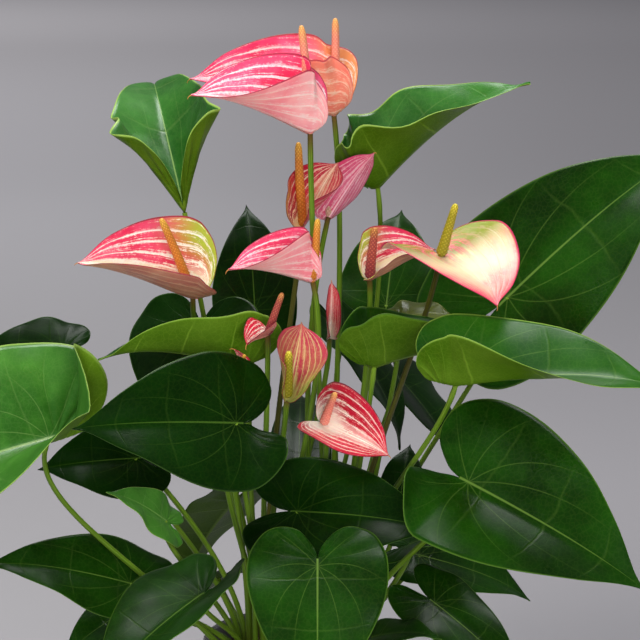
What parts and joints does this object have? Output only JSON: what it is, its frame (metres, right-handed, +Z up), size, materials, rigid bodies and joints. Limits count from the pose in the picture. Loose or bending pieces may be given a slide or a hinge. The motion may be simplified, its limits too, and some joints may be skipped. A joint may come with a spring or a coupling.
{
  "type": "potted plant",
  "caption": "Flamingo flower in a plain grey pot: striped pink spathes on slender stalks over a bushy clump of heart-shaped leaves",
  "frame": {"origin": "centre of the pot's flat underside", "axes": "-Z is the pot's resting side, +Z runs up the plant, and -Y faces the plant's best side"},
  "size_m": [0.6851, 0.4407, 0.685],
  "materials": {
    "pot": "satin",
    "soil": "rough",
    "leaf": "glossy",
    "fresh_leaf": "glossy",
    "yellow_leaf": "satin",
    "stalk": "satin",
    "spathe": "glossy",
    "red_spathe": "glossy",
    "pale_spathe": "glossy",
    "olive_spathe": "satin",
    "spadix": "matte",
    "green_spadix": "matte",
    "pink_spadix": "matte"
  },
  "bodies": {
    "root": {"pot": "pot", "soil": "soil", "flower_stalks_left": "stalk", "flower_stalks_right": "stalk", "leaf_upper_left": "fresh_leaf", "leaf_upper_right": "fresh_leaf", "leaf_right_high": "leaf", "leaf_right_middle": "leaf", "leaf_middle_right_low": "leaf", "leaf_heart_behind": "leaf", "leaf_right_low": "leaf", "leaf_centre": "leaf", "leaf_front": "leaf", "leaf_left_middle_low": "leaf", "leaf_left_middle_high": "leaf", "leaf_left_dark": "leaf", "leaf_far_left": "leaf", "leaf_left_behind": "leaf", "leaf_far_left_behind": "leaf", "leaf_left_small": "leaf", "leaf_left_low": "leaf", "leaf_front_left": "leaf", "leaf_left_low_behind": "leaf", "leaf_inner_left": "leaf", "leaf_inner_low": "leaf", "leaf_back_upper": "leaf", "leaf_back_right_upper": "leaf", "leaf_right_yellow": "yellow_leaf", "leaf_right_behind": "leaf", "leaf_centre_behind": "leaf", "leaf_right_under": "leaf", "leaf_right_low_behind": "leaf", "leaf_front_right": "leaf", "leaf_front_right_low": "leaf", "leaf_behind_right": "leaf", "spathe_top_front": "spathe", "spathe_top_back": "spathe", "spathe_upper_middle": "spathe", "spathe_upper_right": "spathe", "spathe_left": "spathe", "spathe_middle_left": "spathe", "spathe_middle_right": "spathe", "spathe_right": "pale_spathe", "spathe_inner_high": "red_spathe", "spathe_inner_low": "red_spathe", "spathe_centre": "olive_spathe", "spathe_low_red": "red_spathe", "spathe_rolled": "red_spathe", "spadix_top_front": "pink_spadix", "spadix_top_back": "pink_spadix", "spadix_upper_middle": "spadix", "spadix_upper_right": "spadix", "spadix_left": "spadix", "spadix_middle_left": "spadix", "spadix_middle_right": "spadix", "spadix_right": "green_spadix", "spadix_inner_high": "spadix", "spadix_inner_low": "spadix", "spadix_centre": "green_spadix", "spadix_low_red": "pink_spadix"}
  },
  "joints": []
}
